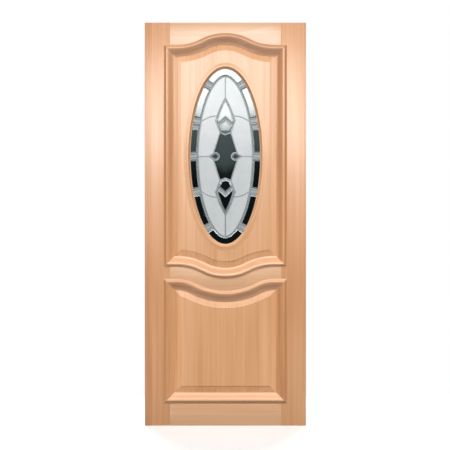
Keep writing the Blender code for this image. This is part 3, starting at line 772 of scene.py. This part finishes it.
def add_glass(rippled, clear, ground):
    """Every piece of glass, its rim tucked under the lips of the cames."""
    bevels = {"border": BORDER_BEVEL, "square": SQUARE_BEVEL, "cluster": CLUSTER_BEVEL,
              "jewel": JEWEL_BEVEL}
    rim_inset = CAME_WIDTH / 2 - GLASS_TUCK
    for node, (centre_line, kind) in glass_layout().items():
        rim = on_leaf(inset_outline(centre_line, rim_inset))
        if kind in bevels:
            flat = on_leaf(inset_outline(centre_line, CAME_WIDTH / 2 + bevels[kind]))
            half = BEVEL_GLASS_THICKNESS / 2
            steps = ((rim, half), (rim, half - BEVEL_GLASS_EDGE), (flat, -half))
            finish = ground if kind == "square" else clear
            name, slot = "bevelled_" + node, "bevelled_glass"
        elif kind == "field":
            half = FIELD_GLASS_THICKNESS / 2
            steps = ((rim, half), (rim, -half))
            name, finish, slot = "rippled_" + node, rippled, "obscure_glass"
        else:
            half = BEVEL_GLASS_THICKNESS / 2
            steps = ((rim, half), (rim, -half))
            name, finish, slot = "polished_" + node, clear, "bevelled_glass"
        rings = [[(x, y, z) for x, z in outline] for outline, y in steps]
        stand_for(add_loft(name, rings, finish, GLASS_SMOOTH_ANGLE), node)


def came_section():
    """The section of a came as (across, height): slightly domed faces over the two lips."""
    half, crown = CAME_WIDTH / 2, CAME_THICKNESS / 2
    dome = [(half * step / DOME_FACETS,
             CAME_LIP + (crown - CAME_LIP) * math.cos(math.pi / 2 * step / DOME_FACETS))
            for step in range(-DOME_FACETS, DOME_FACETS + 1)]
    return dome + [(across, -height) for across, height in reversed(dome)]


def add_came(solid, path, closed=False):
    """One length of came swept along a line of points on the leaf."""
    path = [Vector(point) for point in path]
    section = came_section()
    rings = []
    for index, here in enumerate(path):
        before = path[index - 1] if index or closed else None
        after = path[(index + 1) % len(path)] if closed or index + 1 < len(path) else None
        first = (here - before).normalized() if before else (after - here).normalized()
        second = (after - here).normalized() if after else first
        bisector = (first + second).normalized()
        normal = Vector((-bisector.y, bisector.x)) / max(bisector.dot(first), MITRE_LIMIT)
        rings.append([(here.x + normal.x * across, -height, here.y + normal.y * across)
                      for across, height in section])
    add_rings(solid, rings, closed)


def add_solder(solid, place, chance):
    """A flattened blob of solder over a joint, on both faces of the light."""
    radius = SOLDER_RADIUS * chance.uniform(*SOLDER_SIZES)
    blob = bmesh.ops.create_uvsphere(solid, u_segments=14, v_segments=8, radius=1.0)
    stand = CAME_THICKNESS / 2 + SOLDER_STAND
    for vertex in blob["verts"]:
        x, y, z = vertex.co
        vertex.co = (place[0] + x * radius, z * stand,
                     place[1] + y * radius * chance.uniform(*SOLDER_LUMPS))
    # The exchange of two axes has turned its faces inward
    faces = {face for vertex in blob["verts"] for face in vertex.link_faces}
    bmesh.ops.reverse_faces(solid, faces=list(faces))


def add_lattice(lead):
    """The soldered lattice of cames."""
    solid = bmesh.new()
    side, wing, jewel = cartoon()
    add_came(solid, oval_ring(OUTER_CAME), closed=True)
    add_came(solid, oval_ring(-BORDER_WIDTH), closed=True)
    joints = []
    for span in square_spans():
        for angle in span:
            inner = oval_point(angle, -BORDER_WIDTH)
            add_came(solid, on_leaf([oval_point(angle, OUTER_CAME), inner]))
            joints.append(inner)
    quarter = [side, wing, [DROP_CORNER, KITE_CORNER], [KITE_CORNER, WAIST],
               [KITE_CORNER, KITE_POINT], [WAIST, DIAMOND_POINT], [WAIST, jewel[0]],
               [jewel[0], JEWEL_TIP]]
    corners = [DROP_CORNER, KITE_CORNER, WAIST, jewel[0], wing[0], wing[-1]]
    for across in (-1, 1):
        for up in (-1, 1):
            for line in quarter:
                add_came(solid, on_leaf([(x * across, z * up) for x, z in line]))
            joints += [(x * across, z * up) for x, z in corners]
        add_came(solid, on_leaf([(x * across, z) for x, z in jewel]))
        border = (across * (OVAL_HALF_WIDTH - BORDER_WIDTH), 0.0)
        add_came(solid, on_leaf([(across * JEWEL_TIP[0], 0.0), border]))
        joints += [(across * JEWEL_TIP[0], 0.0), border]
    for up in (-1, 1):
        border = (0.0, up * (OVAL_HALF_HEIGHT - BORDER_WIDTH))
        add_came(solid, on_leaf([(0.0, up * DROP_TIP[1]), border]))
        joints += [border] + [(0.0, up * point[1])
                              for point in (DROP_TIP, KITE_POINT, DIAMOND_POINT)]
    bmesh.ops.recalc_face_normals(solid, faces=solid.faces)
    chance = random.Random(SOLDER_SEED)
    for joint in on_leaf(joints):
        add_solder(solid, joint, chance)
    name = "soldered_lead_cames"
    mesh = finish_mesh(name, solid, CAME_SMOOTH_ANGLE, outward=True)
    stand_for(add_piece(name, mesh, lead), "lead_cames")


# The studio

def place_lamp(name, light, centre, target):
    """A lamp that faces its target. Neither the camera nor a look through the glass sees it."""
    lamp = bpy.data.objects.new(name, light)
    lamp.location = centre
    lamp.rotation_euler = (Vector(target) - Vector(centre)).to_track_quat("-Z", "Y").to_euler()
    lamp.visible_camera = False
    lamp.visible_transmission = False
    bpy.context.scene.collection.objects.link(lamp)
    return lamp


def add_softbox(name, centre, target, width, height, radiance, gives):
    """A soft rectangular light that gives the leaf either its light or its sheen alone."""
    light = bpy.data.lights.new(name, "AREA")
    light.shape = "RECTANGLE"
    light.size, light.size_y = width, height
    light.energy = radiance * math.pi * width * height
    lamp = place_lamp(name, light, centre, target)
    lamp.visible_diffuse = gives == "light"
    lamp.visible_glossy = gives == "sheen"


def add_high_key(name, side, strength, spread):
    """A broad light from high up before or behind the leaf, without a reflection of its own."""
    light = bpy.data.lights.new(name, "SUN")
    light.energy = strength
    light.angle = math.radians(spread)
    rise = math.radians(KEY_RISE)
    middle = Vector((MIDDLE_X, 0.0, 0.0))
    centre = middle + KEY_DISTANCE * Vector((0.0, side * math.cos(rise), math.sin(rise)))
    place_lamp(name, light, centre, middle).visible_glossy = False


def light_studio():
    """Light from high up, more of it on the middle of the door, and sheen towards its top."""
    add_high_key("high_key", side=-1, strength=2.85, spread=22)
    add_high_key("back_key", side=1, strength=3.4, spread=25)
    add_softbox("near_key", (MIDDLE_X, -1.7, 0.42), (MIDDLE_X, 0.0, 0.3), width=2.2,
                height=0.9, radiance=1.5, gives="light")
    add_softbox("sheen_card", (MIDDLE_X, -1.4, 0.99), (MIDDLE_X, 0.0, 0.8), width=2.2,
                height=0.84, radiance=7.8, gives="sheen")
    for side, hand in ((-1, "left"), (1, "right")):
        add_softbox(hand + "_sheen_card", (MIDDLE_X + side * 0.62, -1.4, 0.25),
                    (MIDDLE_X, 0.0, 0.25), width=0.6, height=0.9, radiance=2.5, gives="sheen")


def light_room():
    """A white surround for the camera, a soft grey room for what the door reflects, and behind
    the glass a dim room under a bright sky. Bevels that look far to the side see plain grey."""
    world = bpy.data.worlds.new("studio")
    bpy.context.scene.world = world
    world.use_nodes = True
    tree = world.node_tree
    tree.nodes.clear()
    path = add_node(tree, "ShaderNodeLightPath")
    direction = add_node(tree, "ShaderNodeTexCoord")
    axes = add_node(tree, "ShaderNodeSeparateXYZ", None,
                    {"Vector": direction.outputs["Generated"]})
    sideways = add_node(tree, "ShaderNodeMath", {"operation": "ABSOLUTE"},
                        {0: axes.outputs["X"]})
    held = add_node(tree, "ShaderNodeMath", {"operation": "MINIMUM", 1: SIDE_REACH},
                    {0: sideways.outputs[0]})
    height = add_node(tree, "ShaderNodeMath", {"operation": "MULTIPLY_ADD", 1: SIDE_HOLD},
                      {0: held.outputs[0], 2: axes.outputs["Z"]})
    rise = add_node(tree, "ShaderNodeMapRange", {"From Min": VIEW_FOOT, "From Max": VIEW_HEAD},
                    {"Value": height.outputs[0]})
    ramp = add_node(tree, "ShaderNodeValToRGB", None, {"Fac": rise.outputs[0]})
    stops = ramp.color_ramp.elements
    stops[0].position, stops[0].color = 0.0, linear("#6c7375")
    stops[1].position, stops[1].color = 1.0, linear("#747a7b")
    for level, colour in VIEW_STEPS:
        stops.new((level - VIEW_FOOT) / (VIEW_HEAD - VIEW_FOOT)).color = linear(colour)
    beside = add_node(tree, "ShaderNodeMapRange", {"From Min": 0.04, "From Max": 0.11},
                      {"Value": sideways.outputs[0]})
    backdrop = add_node(tree, "ShaderNodeMix", {"data_type": "RGBA", 7: linear("#7f8587")},
                        {0: beside.outputs[0], 6: ramp.outputs["Color"]})
    room = add_node(tree, "ShaderNodeMix", {"data_type": "RGBA", 6: linear("#757779"),
                                            7: linear("#2e3032")},
                    {0: path.outputs["Is Glossy Ray"]})
    behind = add_node(tree, "ShaderNodeMix", {"data_type": "RGBA"},
                      {0: path.outputs["Is Transmission Ray"], 6: room.outputs[2],
                       7: backdrop.outputs[2]})
    seen = add_node(tree, "ShaderNodeMix", {"data_type": "RGBA", 7: (1.0, 1.0, 1.0, 1.0)},
                    {0: path.outputs["Is Camera Ray"], 6: behind.outputs[2]})
    surround = add_node(tree, "ShaderNodeBackground", {"Strength": 1.0},
                        {"Color": seen.outputs[2]})
    add_node(tree, "ShaderNodeOutputWorld", None, {"Surface": surround.outputs[0]})


def lay_floor():
    """A pale painted studio floor with a faint mottle. It throws no light on the leaf, whose
    foot is its darkest part."""
    finish, tree, shader = new_finish("pale_studio_paint", {"Roughness": 0.7})
    place = add_node(tree, "ShaderNodeTexCoord")
    mottle = add_node(tree, "ShaderNodeTexNoise", {"Scale": 6.0, "Detail": 3.0},
                      {"Vector": place.outputs["Object"]})
    colour = add_node(tree, "ShaderNodeMix", {"data_type": "RGBA", 6: linear("#f6f6f5"),
                                              7: linear("#fbfbfa")},
                      {0: mottle.outputs[0]})
    tree.links.new(colour.outputs[2], shader.inputs["Base Color"])
    solid = bmesh.new()
    low = -HALF_HEIGHT
    corners = [(-1.6, -2.4), (2.4, -2.4), (2.4, 1.2), (-1.6, 1.2)]
    add_rings(solid, [[(x, y, low - 0.02) for x, y in corners],
                      [(x, y, low) for x, y in corners]])
    floor = add_piece("studio_floor", finish_mesh("studio_floor", solid, SMOOTH_ANGLE), finish)
    floor.visible_diffuse = False


def place_camera():
    """The photographer's place, square on to the front of the leaf."""
    camera = bpy.data.cameras.new("camera")
    camera.sensor_width = SENSOR_WIDTH
    camera.lens = SENSOR_WIDTH * CAMERA_DISTANCE / PICTURE_SPAN
    camera.clip_end = 50.0
    viewer = bpy.data.objects.new("camera", camera)
    viewer.location = (CAMERA_X, -HALF_THICKNESS - CAMERA_DISTANCE, CAMERA_Z)
    viewer.rotation_euler = (math.pi / 2, 0.0, 0.0)
    bpy.context.scene.collection.objects.link(viewer)
    bpy.context.scene.camera = viewer


def main():
    place_camera()
    # Tones of the wood, each from pale to dark: the stiles are the reddest, the rails pinker
    ruddy = ("#e3ab79", "#dc9e6d", "#d09360", "#c38156")
    honey = ("#edb784", "#e5aa7b", "#dca26d", "#ce8e60")
    pinkish = ("#e9ba8f", "#e3b288", "#dca87e", "#ce976e")
    rosy = ("#e6b084", "#dfa87b", "#d49c70", "#c58c62")
    frame_upright = lacquered_hemlock("frame_hemlock_upright", "Z", 0.19, ruddy)
    frame_level = lacquered_hemlock("frame_hemlock_level", "X", 0.23, pinkish)
    panel_upright = lacquered_hemlock("panel_hemlock_staves", "Z", 0.055, honey)
    moulding_upright = lacquered_hemlock("moulding_hemlock_upright", "Z", 0.3, ruddy)
    moulding_level = lacquered_hemlock("moulding_hemlock_level", "X", 0.3, rosy)
    bead_bent = lacquered_hemlock("bead_hemlock_bent", "UV", 0.3, honey)

    for node in ("hinge_stile", "lock_stile"):
        ease_frame_member(node, frame_upright)
    for node in ("top_rail", "middle_rail", "bottom_rail"):
        ease_frame_member(node, frame_level)
    add_panel("upper_panel", UPPER, panel_upright, oval_ring(BEAD_REBATE))
    add_panel("lower_panel", LOWER, panel_upright)
    add_mouldings("upper", UPPER, moulding_upright, moulding_level)
    add_mouldings("lower", LOWER, moulding_upright, moulding_level)
    add_beads(bead_bent)
    add_glass(rippled_glass(), bevelled_plate_glass(), ground_plate_glass())
    add_lattice(patinated_lead())

    light_studio()
    light_room()
    lay_floor()
    bpy.context.scene.view_settings.view_transform = "Standard"


main()
